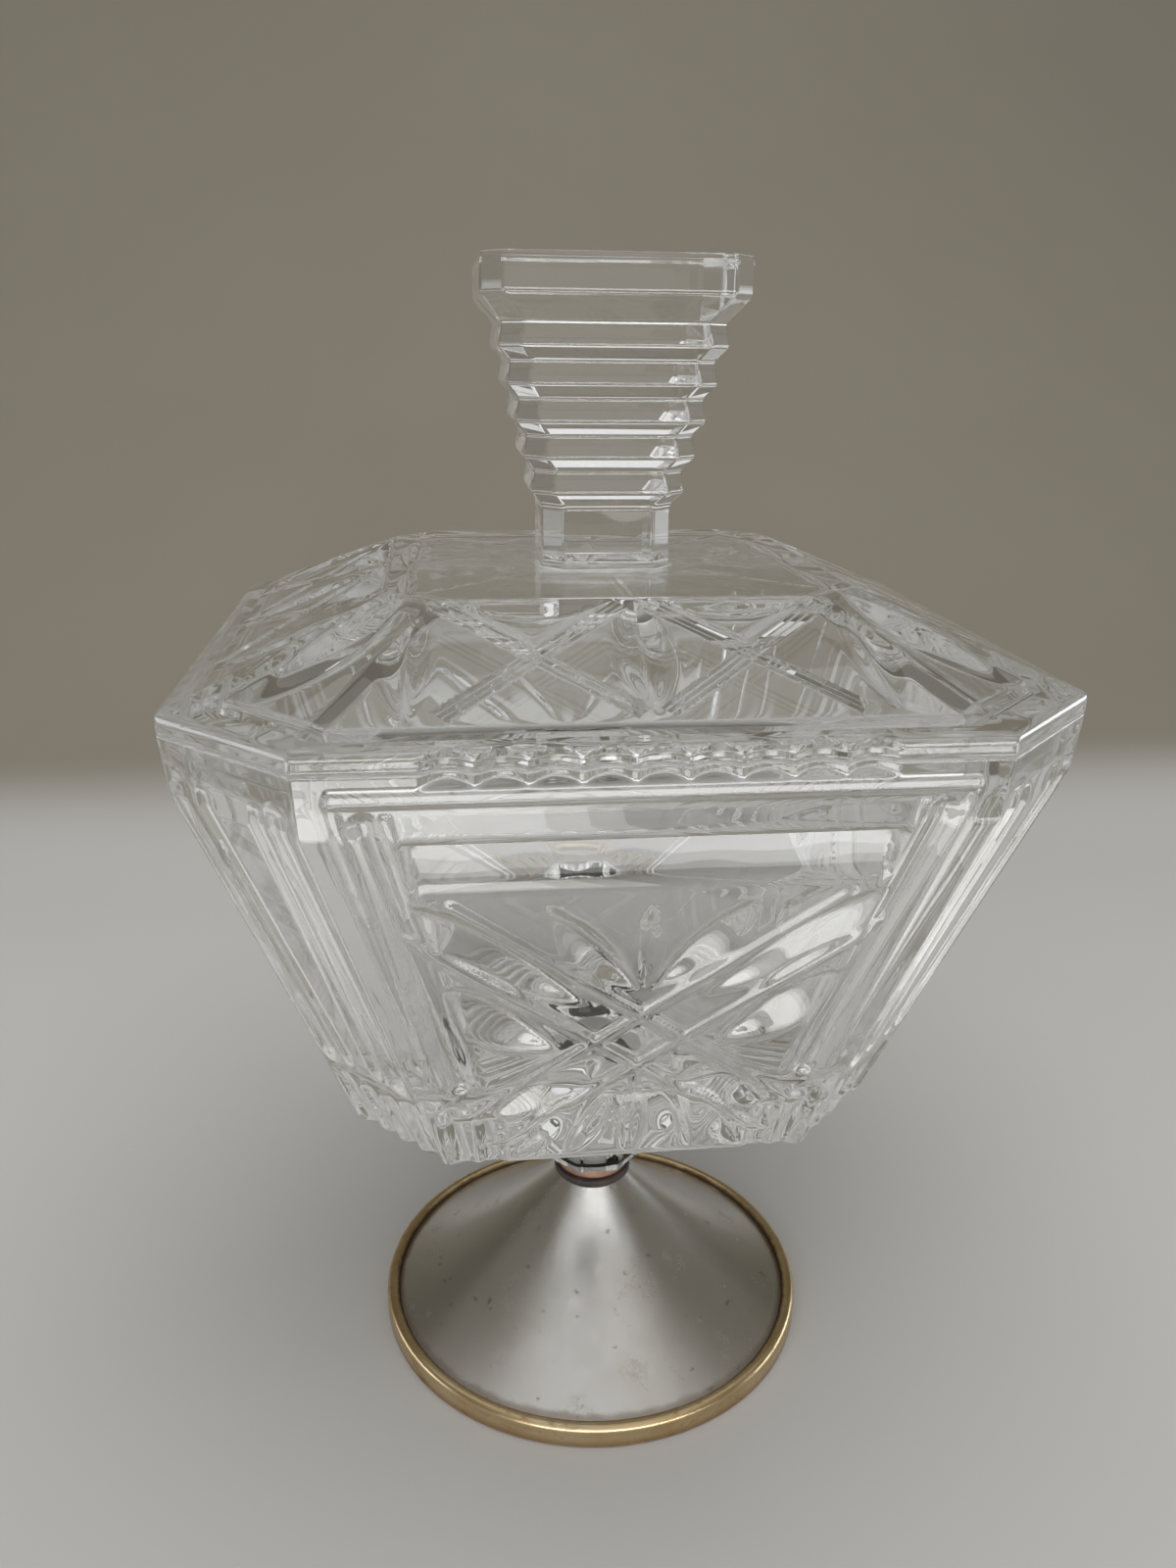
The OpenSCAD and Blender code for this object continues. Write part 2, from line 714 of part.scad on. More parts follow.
// Glass lid with its roof, locating lip and finial
module lid() {
    color(glass)
        difference() {
            union() {
                lid_roof();
                lid_lip();
                finial();
            }
            lid_hollow();
            for (turn = [0 : 90 : 270]) {
                on_roof(turn) roof_cuts();
                on_corner_roof(turn)
                    leaf([0, margin_gap], [0, corner_roof_len - crown_gap], corner_leaf_w, roof_leaf_slope);
                rotate([0, 0, turn]) rim_arches(rim_z - overcut, roof_z);
            }
        }
}

foot_rim();
foot_cone();
neck_gasket();
collar();
top_gasket();
clamp_stud();
socket_cement();
clamp_washer();
clamp_nut();
bowl();
lid();
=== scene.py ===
import math

import bmesh
import bpy
from mathutils import Matrix, Vector


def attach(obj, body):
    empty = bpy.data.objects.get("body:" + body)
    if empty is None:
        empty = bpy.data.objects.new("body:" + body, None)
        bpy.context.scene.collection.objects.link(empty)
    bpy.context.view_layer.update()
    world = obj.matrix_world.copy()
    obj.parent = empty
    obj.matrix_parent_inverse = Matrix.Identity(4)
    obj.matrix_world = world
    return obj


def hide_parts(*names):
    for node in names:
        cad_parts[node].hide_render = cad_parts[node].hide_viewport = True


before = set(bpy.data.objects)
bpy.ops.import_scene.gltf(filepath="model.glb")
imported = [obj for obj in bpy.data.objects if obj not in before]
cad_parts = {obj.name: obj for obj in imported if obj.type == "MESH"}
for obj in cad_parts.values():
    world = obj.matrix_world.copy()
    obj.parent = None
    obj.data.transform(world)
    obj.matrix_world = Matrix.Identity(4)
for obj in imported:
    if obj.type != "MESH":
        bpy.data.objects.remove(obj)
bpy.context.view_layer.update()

# Sizes are in millimetres and become metres where a mesh is made.
MM = 0.001
QUARTERS = (0, 90, 180, 270)
DIAGONAL = math.sqrt(2)

# Foot and clamp
FOOT_R = 40.0
BEAD_W, BEAD_H, BEAD_CHAMFER = 2.4, 4.4, 0.5
LIP_W, LIP_H = 1.2, 1.2
SHEET_T = 0.8
EDGE_Z, NECK_Z, NECK_R, NECK_T = 3.6, 28.0, 6.5, 1.6
CONE_R = FOOT_R - BEAD_W
CONE_DIP = 1.4
RING_R, SOCKET_R = 2.6, 3.7
# Rings on the stud: radius, foot, top and rounding
NECK_GASKET = (7.2, 28.0, 29.6, 0.7)
COLLAR = (6.6, 29.6, 32.0, 0.5)
TOP_GASKET = (6.2, 32.0, 32.8, 0.35)
SOCKET_TOP = 42.8

# Bowl
BOSS_Z, TAPER_Z, BASE_Z, FLOOR_Z = 32.8, 43.8, 59.8, 71.8
SHOULDER_Z, MOUTH_Z, RIM_Z = 121.3, 123.8, 129.8
BOSS_HALF, BOSS_SPREAD = 8.5, 1.5
BASE_HALF, BASE_SIDE = 41.0, 55.0
RIM_HALF, RIM_SIDE = 62.5, 88.0
SHOULDER_IN = 1.0
WALL_T = 5.5

# Lid
LIP_Z, MARGIN_Z, ROOF_Z, CROWN_Z = 125.8, 132.6, 134.3, 144.6
MARGIN_W = 4.5
CROWN_HALF, CROWN_SIDE, CROWN_T = 33.5, 54.0, 5.0
LID_LIP_T, LID_GAP, SEAM, DRAW_SHARE = 2.8, 0.8, 0.12, 0.25

# Finial
FINIAL_NECK_HALF, TIER_Z = 10.0, 154.1
TIERS, TIER_H, TIER_SLOPE_H, TIER_DRAW = 5, 5.25, 1.95, 0.5
FIRST_TIER_HALF, TIER_GROW = 11.8, 1.25
SLAB_HALF, SLAB_SLOPE_H, TOP_Z = 19.3, 3.4, 189.35
FINIAL_CANT, SLAB_CAP = 2.2, 4.0
TIER_SOFT, SLAB_SOFT, TOP_SOFT = 0.5, 0.8, 0.9

# Camera, in millimetres, degrees and photograph pixels
CAMERA_AT = (-26.12, -201.14, 176.86)
CAMERA_YAW, CAMERA_PITCH, CAMERA_ROLL = 6.957, 19.292, 0.621
FOCAL_PIXELS, IMAGE_TALL = 1272.4, 1600
SENSOR_W, NEAREST = 36.0, 0.01


def corner_half(half, side):
    """Half-width across the canted corners, from that across the flats and a flat's length."""
    return (half + side / 2) / DIAGONAL


BASE_CORNER = corner_half(BASE_HALF, BASE_SIDE)
RIM_CORNER = corner_half(RIM_HALF, RIM_SIDE)
CROWN_CORNER = corner_half(CROWN_HALF, CROWN_SIDE)
WALL_LEAN = math.atan((RIM_HALF - SHOULDER_IN - BASE_HALF) / (SHOULDER_Z - BASE_Z))
CORNER_LEAN = math.atan((RIM_CORNER - SHOULDER_IN - BASE_CORNER) / (SHOULDER_Z - BASE_Z))
ROOF_LEAN = math.atan((CROWN_Z - ROOF_Z) / (RIM_HALF - MARGIN_W - CROWN_HALF))
CORNER_ROOF_LEAN = math.atan((CROWN_Z - ROOF_Z) / (RIM_CORNER - MARGIN_W - CROWN_CORNER))


# Shader values and materials

class Value:
    """A shader number that takes part in ordinary arithmetic."""

    def __init__(self, finish, socket):
        self.finish = finish
        self.socket = socket

    def _with(self, operation, first, second):
        return self.finish.node("Math", {"operation": operation}, {0: first, 1: second})

    def __add__(self, other):
        return self._with("ADD", self, other)

    __radd__ = __add__

    def __sub__(self, other):
        return self._with("SUBTRACT", self, other)

    def __rsub__(self, other):
        return self._with("SUBTRACT", other, self)

    def __mul__(self, other):
        return self._with("MULTIPLY", self, other)

    __rmul__ = __mul__

    def __pow__(self, other):
        return self._with("POWER", self, other)

    def __rpow__(self, other):
        return self._with("POWER", other, self)


class Finish:
    """A node material whose nodes all come from one method."""

    def __init__(self, name, kind="materials"):
        self.owner = getattr(bpy.data, kind).new(name)
        self.owner.use_nodes = True
        self.tree = self.owner.node_tree
        self.tree.nodes.clear()

    def node(self, kind, settings=None, sockets=None, output=0):
        """Adds a node with its settings, then its values and links, and gives one of its outputs."""
        made = self.tree.nodes.new("ShaderNode" + kind)
        for name, value in (settings or {}).items():
            setattr(made, name, value)
        for key, value in (sockets or {}).items():
            self._feed(made.inputs[key], value)
        return Value(self, made.outputs[output]) if made.outputs else None

    def _feed(self, target, value):
        if isinstance(value, Value):
            self.tree.links.new(value.socket, target)
        else:
            target.default_value = value

    def place(self):
        return self.node("TexCoord", output="Object")

    def noise(self, scale, detail=3.0, rough=0.55, at=None, stretch=None):
        at = at or self.place()
        if stretch:
            at = self.node("VectorMath", {"operation": "MULTIPLY"}, {0: at, 1: stretch})
        sockets = {"Vector": at, "Scale": scale, "Detail": detail, "Roughness": rough}
        return self.node("TexNoise", {}, sockets)

    def ramp(self, value, low, high):
        """A smooth rise from 0 to 1 as the value goes from low to high."""
        sockets = {"Value": value, "From Min": low, "From Max": high, "To Min": 0.0, "To Max": 1.0}
        return self.node("MapRange", {"interpolation_type": "SMOOTHSTEP"}, sockets)

    def mix(self, share, first, second):
        """A colour between two others."""
        made = self.node("Mix", {"data_type": "RGBA"}, {0: share}, output=2)
        node = made.socket.node
        self._feed(node.inputs[6], first)
        self._feed(node.inputs[7], second)
        return made

    def bump(self, height, strength, distance):
        return self.node("Bump", {}, {"Height": height, "Strength": strength, "Distance": distance})

    def height_and_radius(self):
        """Place on the object in metres: its height and its distance from the upright axis."""
        parts = self.node("SeparateXYZ", {}, {0: self.place()})
        x, y, z = (Value(self, socket) for socket in parts.socket.node.outputs)
        return z, (x * x + y * y) ** 0.5

    def done(self, **sockets):
        """Puts the finish together from the shader's own sockets."""
        named = {key.replace("_", " "): value for key, value in sockets.items()}
        self.node("OutputMaterial", {}, {"Surface": self.node("BsdfPrincipled", {}, named)})
        return self.owner


def rgb(red, green, blue):
    return (red, green, blue, 1.0)


def clear_glass():
    f = Finish("clear_glass")
    cloud = f.noise(45.0, 2.0)
    smear = f.ramp(f.noise(160.0, 4.0, 0.6, stretch=(1.0, 1.0, 0.45)), 0.56, 0.78)
    tint = f.mix(cloud, rgb(0.955, 0.975, 0.985), rgb(0.99, 0.99, 0.985))
    wave = f.bump(f.noise(70.0, 1.0), 0.22, 0.25 * MM)
    rough = 0.012 + smear * 0.035
    return f.done(Base_Color=tint, Roughness=rough, IOR=1.52, Transmission_Weight=1.0, Normal=wave)


def silver_plate():
    f = Finish("silver_plate")
    height, radius = f.height_and_radius()
    cloud = f.noise(38.0, 4.0, 0.6)
    scuff = f.ramp(f.noise(120.0, 5.0, 0.7), 0.55, 0.74)
    speck = f.ramp(f.noise(420.0, 2.0), 0.68, 0.76)
    ragged = radius + (f.noise(300.0, 3.0) - 0.5) * (1.4 * MM)
    edge = f.ramp(ragged, (CONE_R - 1.4) * MM, (CONE_R - 0.3) * MM)
    bright = f.mix(f.ramp(cloud, 0.35, 0.7), rgb(0.62, 0.605, 0.585), rgb(0.53, 0.51, 0.465))
    worn = f.mix(scuff * 0.55, bright, rgb(0.50, 0.47, 0.40))
    tarnished = f.mix(edge * 0.55, worn, rgb(0.24, 0.17, 0.11))
    colour = f.mix(speck * 0.5, tarnished, rgb(0.18, 0.14, 0.10))
    spun = f.node("CombineXYZ", {}, {0: radius * 2600.0, 1: height * 900.0, 2: 0.0})
    rings = f.noise(1.0, 3.0, 0.7, at=spun)
    rough = 0.23 + scuff * 0.12 + edge * 0.12 + (cloud - 0.5) * 0.10
    return f.done(Base_Color=colour, Metallic=1.0, Roughness=rough, Anisotropic=0.3,
                  Normal=f.bump(rings, 0.10, 0.06 * MM))


def brass_rim():
    f = Finish("brass_rim")
    height, radius = f.height_and_radius()
    cloud = f.noise(60.0, 4.0, 0.65)
    worn = f.ramp(f.noise(260.0, 4.0, 0.7, stretch=(1.0, 1.0, 2.2)), 0.53, 0.68)
    # Painted shade: the bead's colour turns dark brown towards its underside, below 2.2 mm, where less
    # light falls.
    low = f.ramp(height, 2.2 * MM, 0.4 * MM)
    ragged = radius + (f.noise(420.0, 3.0) - 0.5) * (1.0 * MM)
    inner = f.ramp(ragged, (CONE_R + 0.75) * MM, (CONE_R + 0.15) * MM)
    bright = f.mix(f.ramp(cloud, 0.3, 0.7), rgb(0.71, 0.57, 0.35), rgb(0.56, 0.41, 0.22))
    # The dark brown mixes real worn spots with the painted shade on the bead's underside.
    wear_and_underside_shade = f.mix(worn * 0.35 + low * 0.5, bright, rgb(0.26, 0.12, 0.05))
    colour = f.mix(inner * 0.75, wear_and_underside_shade, rgb(0.16, 0.10, 0.06))
    return f.done(Base_Color=colour, Metallic=1.0, Roughness=0.28 + worn * 0.22 + inner * 0.1,
                  Normal=f.bump(cloud, 0.15, 0.1 * MM))


def copper_collar():
    f = Finish("copper_collar")
    height, radius = f.height_and_radius()
    cloud = f.noise(150.0, 4.0, 0.6)
    lathed = f.node("CombineXYZ", {}, {0: height * 4200.0, 1: radius * 900.0, 2: 0.0})
    lines = f.noise(1.0, 2.0, at=lathed)
    colour = f.mix(f.ramp(cloud, 0.38, 0.68), rgb(0.80, 0.54, 0.43), rgb(0.50, 0.28, 0.20))
    return f.done(Base_Color=colour, Metallic=1.0, Roughness=0.24 + cloud * 0.2,
                  Normal=f.bump(lines, 0.2, 0.08 * MM))


def dark_gasket():
    f = Finish("dark_gasket")
    cloud = f.noise(240.0, 4.0, 0.65)
    colour = f.mix(f.ramp(cloud, 0.35, 0.75), rgb(0.018, 0.014, 0.013), rgb(0.07, 0.045, 0.04))
    return f.done(Base_Color=colour, Roughness=0.45 + cloud * 0.25, Normal=f.bump(cloud, 0.3, 0.1 * MM))


def clamp_steel():
    f = Finish("clamp_steel")
    cloud = f.noise(180.0, 4.0, 0.6)
    colour = f.mix(f.ramp(cloud, 0.4, 0.7), rgb(0.56, 0.55, 0.53), rgb(0.30, 0.27, 0.24))
    return f.done(Base_Color=colour, Metallic=1.0, Roughness=0.32 + cloud * 0.2,
                  Normal=f.bump(cloud, 0.2, 0.08 * MM))


def socket_cement():
    f = Finish("cement")
    grain = f.noise(600.0, 5.0, 0.7)
    colour = f.mix(grain, rgb(0.62, 0.60, 0.56), rgb(0.80, 0.79, 0.75))
    return f.done(Base_Color=colour, Roughness=0.8 + grain * 0.15, Normal=f.bump(grain, 0.5, 0.2 * MM))


def flag_cloth():
    f = Finish("flag_cloth")
    weave = f.noise(300.0, 2.0)
    colour = f.mix(weave, rgb(0.05, 0.03, 0.025), rgb(0.08, 0.05, 0.04))
    return f.done(Base_Color=colour, Roughness=0.85 + weave * 0.1)


def studio_paper():
    f = Finish("studio_paper")
    height, _ = f.height_and_radius()
    cloud = f.noise(6.0, 3.0)
    floor = f.mix(cloud, rgb(0.41, 0.402, 0.39), rgb(0.445, 0.436, 0.424))
    wall = f.mix(cloud, rgb(0.207, 0.189, 0.154), rgb(0.232, 0.214, 0.175))
    colour = f.mix(f.ramp(height, 0.5 * MM, 12 * MM), floor, wall)
    return f.done(Base_Color=colour, Roughness=0.75 + cloud * 0.1, Specular_IOR_Level=0.0)


# Solids

def make_piece(name, points, faces):
    """A mesh object from points in millimetres."""
    mesh = bpy.data.meshes.new(name)
    mesh.from_pydata([tuple(c * MM for c in p) for p in points], [], faces)
    piece = bpy.data.objects.new(name, mesh)
    bpy.context.scene.collection.objects.link(piece)
    shell = bmesh.new()
    shell.from_mesh(mesh)
    bmesh.ops.recalc_face_normals(shell, faces=shell.faces)
    shell.to_mesh(mesh)
    shell.free()
    return piece


def skin(rings, first=0):
    """Faces of a closed solid that joins rings of equal length, with a cap at each end."""
    count = len(rings[0])
    faces = []
    for i in range(len(rings) - 1):
        here, there = first + i * count, first + (i + 1) * count
        for j in range(count):
            k = (j + 1) % count
            faces.append((here + j, here + k, there + k, there + j))
    last = first + (len(rings) - 1) * count
    faces.append(tuple(first + j for j in reversed(range(count))))
    faces.append(tuple(last + j for j in range(count)))
    return faces


def shade_smooth(piece, angle):
    for polygon in piece.data.polygons:
        polygon.use_smooth = True
    piece.data.set_sharp_from_angle(angle=math.radians(angle))


ARC = 2
FLAT_STEPS, CORNER_STEPS = 150, 44
FINER, FINE, PLAIN = 0.3, 0.55, 0.0
FILLET = 0.9
CAP_SHARE = 0.6
BEND_SHARE, BROAD_BEND, BROAD_STEPS, BEND_STEPS = 0.45, 2, 7, 3
GLASS_ANGLE, TURNED_ANGLE = 45, 30


def edge_arc(half, corner, z, k):
    """Points round the upright edge after face k - 1 of an eight-sided level."""
    near, far = (half, corner) if k % 2 == 0 else (corner, half)
    a, b = math.radians(45 * k), math.radians(45 * k + 45)
    det = math.sin(b - a)
    p, q = near - FILLET, far - FILLET
    cx = (p * math.sin(b) - q * math.sin(a)) / det
    cy = (q * math.cos(a) - p * math.cos(b)) / det
    turns = [a + (b - a) * j / ARC for j in range(ARC + 1)]
    return [Vector((cx + FILLET * math.cos(t), cy + FILLET * math.sin(t), z)) for t in turns]


def eight_ring(half, corner, z, relief=None):
    """One level of an eight-sided solid, its faces pushed out or in by a relief."""
    arcs = [edge_arc(half, corner, z, k) for k in range(8)]
    shifts = {}
    ring = []
    for k in range(8):
        flat = k % 2 == 1
        a, b = arcs[k][-1], arcs[(k + 1) % 8][0]
        turn = math.radians(45 * (k + 1))
        out = Vector((math.cos(turn), math.sin(turn), 0))
        along = Vector((-math.sin(turn), math.cos(turn), 0))
        steps = FLAT_STEPS if flat else CORNER_STEPS
        places = [a.lerp(b, j / steps) for j in range(1, steps)]
        if relief and flat not in shifts:
            shifts[flat] = [relief(flat, p.dot(along), z) for p in places]
        if relief:
            moves = [out * push + Vector((0, 0, lift)) for push, lift in shifts[flat]]
            places = [p + move for p, move in zip(places, moves)]
        ring += arcs[k] + places
    return [tuple(p) for p in ring]


def round_ring(radius, z):
    """A round level with as many points as an eight-sided one, in the same directions."""
    return [(radius * x / math.hypot(x, y), radius * y / math.hypot(x, y), z)
            for x, y, _ in eight_ring(2 * radius, 2 * radius, z)]


def bend(before, here, after, radius):
    """Points that round a corner of an outline."""
    if radius == 0:
        return [here]
    start = here + (before - here) * min(BEND_SHARE, radius / (before - here).length)
    end = here + (after - here) * min(BEND_SHARE, radius / (after - here).length)
    steps = BROAD_STEPS if radius > BROAD_BEND else BEND_STEPS
    shares = [i / steps for i in range(steps + 1)]
    return [start * (1 - s) ** 2 + here * (2 * s * (1 - s)) + end * s * s for s in shares]


def glass_rings(levels, relief):
    """Rings through levels (half, corner, z, radius, pitch). Each corner of the outline is rounded by its
    radius. A stretch with a pitch is divided by it and carries the relief."""
    places = [Vector(level[:3]) for level in levels]
    bends = [bend(places[max(i - 1, 0)], places[i], places[min(i + 1, len(places) - 1)], level[3])
             for i, level in enumerate(levels)]
    rings = []
    for i, points in enumerate(bends):
        pitch, last_pitch = levels[i][4], levels[i - 1][4] if i else PLAIN
        rings += [eight_ring(*p, relief if pitch or last_pitch else None) for p in points]
        if pitch:
            a, b = points[-1], bends[i + 1][0]
            count = math.ceil((b - a).length / pitch)
            rings += [eight_ring(*a.lerp(b, j / count), relief) for j in range(1, count)]
    return rings


# Relief of the pressed glass: depth or rise at a place on a face, x across it and v up from its foot

EDGE_SOFT, BOTTOM_SOFT, RIB_SOFT, ARCH_SOFT = 0.5, 0.35, 0.3, 0.2


def soft_max(a, b, soft=EDGE_SOFT):
    gap = max(soft - abs(a - b), 0.0)
    return max(a, b) + gap * gap / (4 * soft)


def leaf(start, end, width, slope, upper=0.5):
    """Depth of a leaf that is pointed at both ends, its upper share above its deepest line."""
    a, b = Vector(start), Vector(end)
    run = (b - a).normalized()
    reach = (b - a).length / 2
    middle = (a + b) / 2
    deep = width / 2 * slope
    left = width * (upper if run.x >= 0 else 1 - upper)
    right = width - left

    def depth(x, v):
        dx, dv = x - middle.x, v - middle.y
        s = dx * run.x + dv * run.y
        off = dv * run.x - dx * run.y
        fall = deep * (s / reach) ** 2
        rise = (math.hypot(off, BOTTOM_SOFT) - BOTTOM_SOFT) * deep / (left if off > 0 else right)
        return deep - fall - rise
    return depth


def flute(start, end, half, deep):
    """Depth of a round-bottomed flute, or rise of a rib, with round ends."""
    a, b = Vector(start), Vector(end)
    run = b - a
    square = run.length_squared

    def depth(x, v):
        dx, dv = x - a.x, v - a.y
        t = min(max((dx * run.x + dv * run.y) / square, 0.0), 1.0)
        dx, dv = dx - run.x * t, dv - run.y * t
        return deep * (1 - (dx * dx + dv * dv) / (half * half))
    return depth


def surface(pattern, x, v):
    """Height of a face's pattern of hollows and ribs."""
    hollows, ribs = pattern
    low = high = 0.0
    for hollow in hollows:
        low = soft_max(low, hollow(abs(x), v))
    for rib in ribs:
        high = soft_max(high, rib(abs(x), v), RIB_SOFT)
    return high - low


WALL_LEN = (SHOULDER_Z - BASE_Z) / math.cos(WALL_LEAN)
SHOULDER_LEAN = math.atan(SHOULDER_IN / (RIM_Z - SHOULDER_Z))
BAR_TOP, BAR_HALF, BAR_H, BAR_SLANT = WALL_LEN - 1.2, 32.0, 7.5, 1.6
BAR_FOOT = BAR_TOP - BAR_H
BAR_DEPTH, BAR_CREASE, BAR_END_SLOPE = 2.6, 1.0, 2.2
CROSS_RISE, ARM_GAP, CROSS_GAP, ARM_W, RIB_W = 28.2, 2.7, 10.6, 5.9, 2.1
LEAF_SLOPE, LEAF_UPPER = 0.7, 0.3
ARM_RISE = BAR_FOOT - ARM_GAP - CROSS_RISE
ARM_TURN = math.atan2(ARM_RISE, BAR_HALF - BAR_SLANT)
ARM_FAR, ARM_LOW = ARM_RISE / math.sin(ARM_TURN), (CROSS_RISE - CROSS_GAP) / math.sin(ARM_TURN)
RIB_FROM, RIB_TO, RIB_RISE = -31.0, 36.0, 0.5
FLUTE_FOOT, FLUTE_TOP = 18.5, 66.5
RIDGE_FOOT, RIDGE_TOP, RIDGE_SLOPE, RIDGE_FALL, RIDGE_INSET = 69.0, 71.2, 0.30, 0.9, 2.6

# Leaves of a wall, on lines from the cross's middle: turn, start, end, width, shift off the line
UPPER_ARM = (math.degrees(ARM_TURN), 10.5, ARM_FAR + 0.6, 7.0, 0.0)
LOWER_ARM = (-math.degrees(ARM_TURN), 7.0, ARM_LOW, 6.2, 0.0)
WALL_LEAVES = (
    UPPER_ARM,
    LOWER_ARM,
    (math.degrees(ARM_TURN), 7.3, 28.0, 7.2, -9.4),
    (51.5, 7.8, 27.2, 5.8, 4.7),
    (90, 9.4, 23.4, 3.4, 0.0),
    (-90, 9.6, 27.2, 3.8, 0.0),
    (-71, 11.6, 28.0, 4.0, 0.0),
    (-57, 17.6, 30.5, 3.8, 0.0),
)
# Flutes beside the upright edges: inset, half-width, depth
WALL_FLUTES = ((6.45, 1.7, 1.1),)
CORNER_FLUTES = ((3.1, 2.6, 0.9), (7.4, 1.4, 0.8))
# Thin ribs beside the flutes: top, inset, half-width, rise
WALL_RIBS = ((69.5, 3.4, 0.8, 0.45), (67.5, 9.3, 0.7, 0.35))
# Facets at the foot: top, foot, half-width, depth
WALL_FACETS = (((26.3, 12.5), (24.6, -4.0), 2.2, 1.0), ((21.0, 9.5), (20.2, -4.0), 2.0, 0.9))
CORNER_FACETS = (((7.0, 12.5), (6.2, -4.0), 2.3, 1.0), ((2.3, 11.5), (2.1, -4.0), 2.0, 0.9))


def from_cross(turn, along, off=0.0):
    """A place on the wall, given along and off a line from the cross's middle."""
    c, s = math.cos(turn), math.sin(turn)
    return (along * c - off * s, CROSS_RISE + along * s + off * c)


def wall_bar(x, v):
    """Depth of the long bar, deepest near its top."""
    below, above = BAR_TOP - v, v - BAR_FOOT
    end = BAR_HALF - BAR_SLANT * below / BAR_H - x
    low_half = BAR_H - BAR_CREASE
    return min(below * BAR_DEPTH / BAR_CREASE, above * BAR_DEPTH / low_half, end * BAR_END_SLOPE)


def wall_side(v, inset):
    """Place of a line beside a wall's upright edge."""
    share = v * math.cos(WALL_LEAN) / (RIM_Z - BASE_Z)
    return (BASE_SIDE + (RIM_SIDE - BASE_SIDE) * share) / 2 - inset


def top_ridge(x, v):
    """Rise of the ridge under the arches, whose broad upper side catches the light."""
    end = wall_side(RIDGE_FOOT, RIDGE_INSET) - x
    return min((RIDGE_TOP - v) * RIDGE_SLOPE, (v - RIDGE_FOOT) * RIDGE_FALL, end * RIDGE_FALL)


def corner_side(v, inset):
    """Place of a line beside a canted corner's upright edge."""
    share = v * math.cos(WALL_LEAN) / (RIM_Z - BASE_Z)
    low, high = 2 * BASE_HALF - BASE_SIDE, 2 * RIM_HALF - RIM_SIDE
    return (low + (high - low) * share) / math.sqrt(8) - inset


def upright(side, low, high, inset, half, deep):
    """A flute or rib that follows an upright edge."""
    return flute((side(low, inset), low), (side(high, inset), high), half, deep)


def wall_leaf(turn, near, far, width, shift):
    """A leaf of the wall; one that runs straight up or down has its deepest line in the middle."""
    angle = math.radians(turn)
    upper = LEAF_UPPER if abs(turn) < 90 else 0.5
    return leaf(from_cross(angle, near, shift), from_cross(angle, far, shift), width, LEAF_SLOPE, upper)


def wall_pattern():
    hollows = [wall_leaf(*cut) for cut in WALL_LEAVES]
    hollows += [upright(wall_side, FLUTE_FOOT, FLUTE_TOP, *cut) for cut in WALL_FLUTES]
    hollows += [flute(*cut) for cut in WALL_FACETS]
    hollows.append(wall_bar)
    rib_half = RIB_W / 2
    offs = (LEAF_UPPER * ARM_W + rib_half, (LEAF_UPPER - 1) * ARM_W - rib_half)
    ribs = []
    for turn, side in ((ARM_TURN, 1), (math.pi - ARM_TURN, -1)):
        for off in offs:
            ends = (from_cross(turn, along, side * off) for along in (RIB_FROM, RIB_TO))
            ribs.append(flute(*ends, rib_half, RIB_RISE))
    ribs += [upright(wall_side, FLUTE_FOOT, *rib) for rib in WALL_RIBS]
    ribs.append(top_ridge)
    return hollows, ribs


def corner_pattern():
    hollows = [upright(corner_side, FLUTE_FOOT, FLUTE_TOP, *cut) for cut in CORNER_FLUTES]
    hollows += [flute(*cut) for cut in CORNER_FACETS]
    return hollows, []


ARCHES, ARCH_PITCH, ARCH_HALF, ARCH_DEPTH = 9, 6.45, 3.075, 1.2
ARCH_TOP, ARCH_SPRING, ARCH_FOOT, ARCH_SLOPE = MARGIN_Z - 0.1, 1.3, RIM_Z - 2.0, 1.5


def arch_depth(x, z):
    """Depth of the row of arches along the rim."""
    number = min(round(abs(x) / ARCH_PITCH), (ARCHES - 1) // 2)
    spread = ((abs(x) - number * ARCH_PITCH) / ARCH_HALF) ** 2
    crown = ARCH_TOP - ARCH_SPRING * spread
    depth = min(ARCH_DEPTH * (1 - spread), (crown - z) * ARCH_SLOPE, (z - ARCH_FOOT) * ARCH_SLOPE)
    return soft_max(0.0, depth, ARCH_SOFT)


ROOF_LEN = math.hypot(CROWN_Z - ROOF_Z, RIM_HALF - MARGIN_W - CROWN_HALF)
CORNER_ROOF_LEN = math.hypot(CROWN_Z - ROOF_Z, RIM_CORNER - MARGIN_W - CROWN_CORNER)
ROOF_SLOPE, MARGIN_GAP, CROWN_GAP, BAY_W, BAY_GAP = 0.5, 2.2, 0.5, 28.0, 1.5
DISH_DEPTH, DISH_HALF, DISH_TALL, DISH_DROP = 2.2, 12.5, 9.5, 4.0
ROOF_RIB, DISH_SIDE, DISH_TOP = 1.6, 0.6, 1.2
CROSS_TURN = math.atan2(ROOF_LEN - 2 * BAY_GAP, BAY_W - 2 * BAY_GAP)
MID_LEAF_W, END_LEAF_W, CORNER_LEAF_W = 6.8, 5.4, 9.2


def roof_dish(x, v):
    """Depth of the dish at the top of a bay, which the upper arms of its cross bound."""
    top, across = ROOF_LEN - CROWN_GAP, abs(x - BAY_W / 2)
    bowl = DISH_DEPTH * (1 - (across / DISH_HALF) ** 2 - ((v - top + DISH_DROP) / DISH_TALL) ** 2)
    over = (v - ROOF_LEN / 2) * math.cos(CROSS_TURN) - across * math.sin(CROSS_TURN) - ROOF_RIB
    return min(bowl, over * DISH_SIDE, (top - v) * DISH_TOP)


def roof_leaf(x, length, width):
    """A leaf that runs up a slope of the roof."""
    return leaf((x, MARGIN_GAP), (x, length - CROWN_GAP), width, ROOF_SLOPE)


